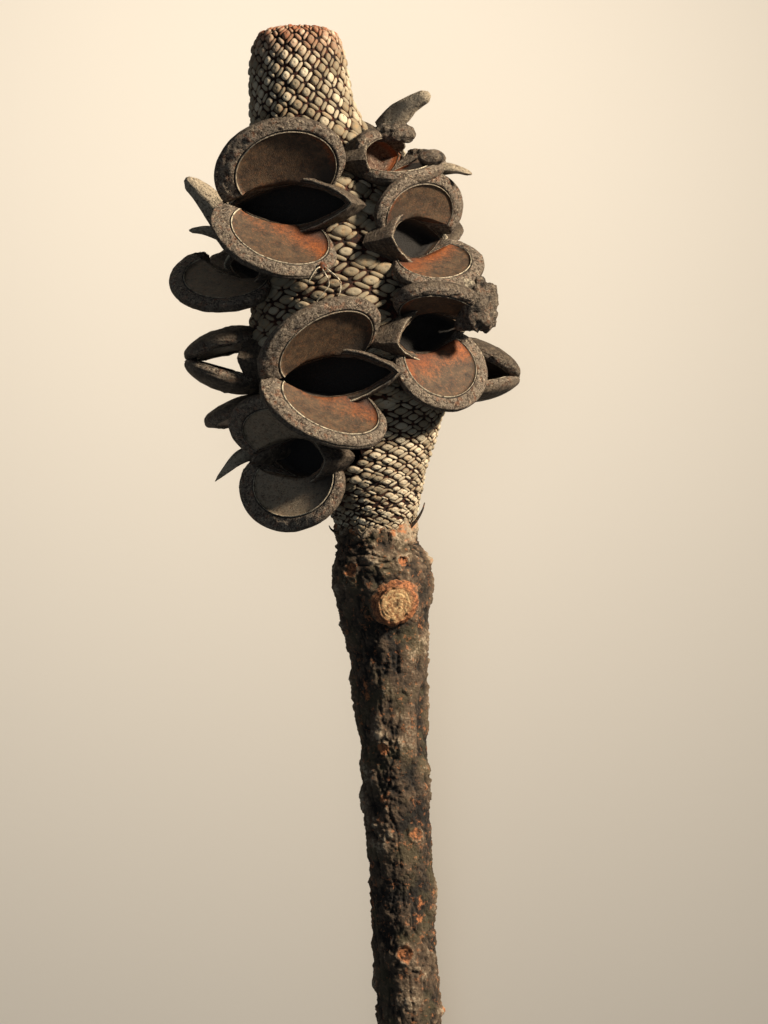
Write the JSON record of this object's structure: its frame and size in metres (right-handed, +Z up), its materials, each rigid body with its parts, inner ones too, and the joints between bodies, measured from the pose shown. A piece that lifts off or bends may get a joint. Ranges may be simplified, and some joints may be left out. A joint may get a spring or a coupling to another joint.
{
  "type": "banksia cone",
  "caption": "Dry seed cone of a banksia on its branch, a woody spike covered in small bracts and set with open two-valved follicles.",
  "frame": {"origin": "centre of the bounding box at the bottom, on the surface that the cone lies on", "axes": "+Y along the cone, from the cut end of the branch to the tip; +Z up, the side that the picture shows; +X to the right in the picture"},
  "size_m": [0.0825, 0.2522, 0.0737],
  "materials": {
    "bark": "rough dark grey-brown bark with orange-brown patches",
    "bracts": "matte pale grey-cream bracts over dark brown gaps",
    "follicle_wood": "matte grey-brown wood, rough at the rim and smooth brown with rust inside"
  },
  "bodies": {
    "root": {"stem": "bark", "cone_body": "bracts", "follicle_01": "follicle_wood", "follicle_02": "follicle_wood", "follicle_03": "follicle_wood", "follicle_04": "follicle_wood", "follicle_05": "follicle_wood", "follicle_06": "follicle_wood", "follicle_07": "follicle_wood", "follicle_08": "follicle_wood", "follicle_09": "follicle_wood", "follicle_10": "follicle_wood", "follicle_11": "follicle_wood", "follicle_12": "follicle_wood", "follicle_13": "follicle_wood", "follicle_14": "follicle_wood"}
  },
  "joints": []
}
